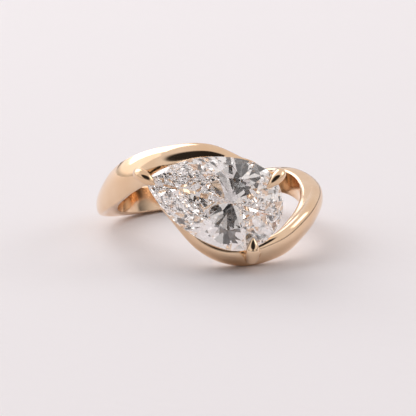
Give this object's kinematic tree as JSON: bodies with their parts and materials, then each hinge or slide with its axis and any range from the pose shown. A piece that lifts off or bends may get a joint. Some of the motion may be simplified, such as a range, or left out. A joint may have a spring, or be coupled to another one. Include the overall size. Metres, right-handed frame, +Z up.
{
  "type": "east west ring",
  "caption": "Bypass ring whose pear-cut stone lies across the finger, held by claws between polished arms that sweep round it.",
  "frame": {"origin": "middle of the ring's box, on the surface that the ring lies on", "axes": "+Z up from the surface; the stone's table faces -Y; +X across the finger, towards the pear's round end; the finger's axis leans about 13 degrees from +Z"},
  "size_m": [0.0208, 0.024, 0.0108],
  "materials": {
    "gold": "polished",
    "stone": "polished"
  },
  "bodies": {
    "root": {"mount": "gold", "pear_stone": "stone"}
  },
  "joints": []
}
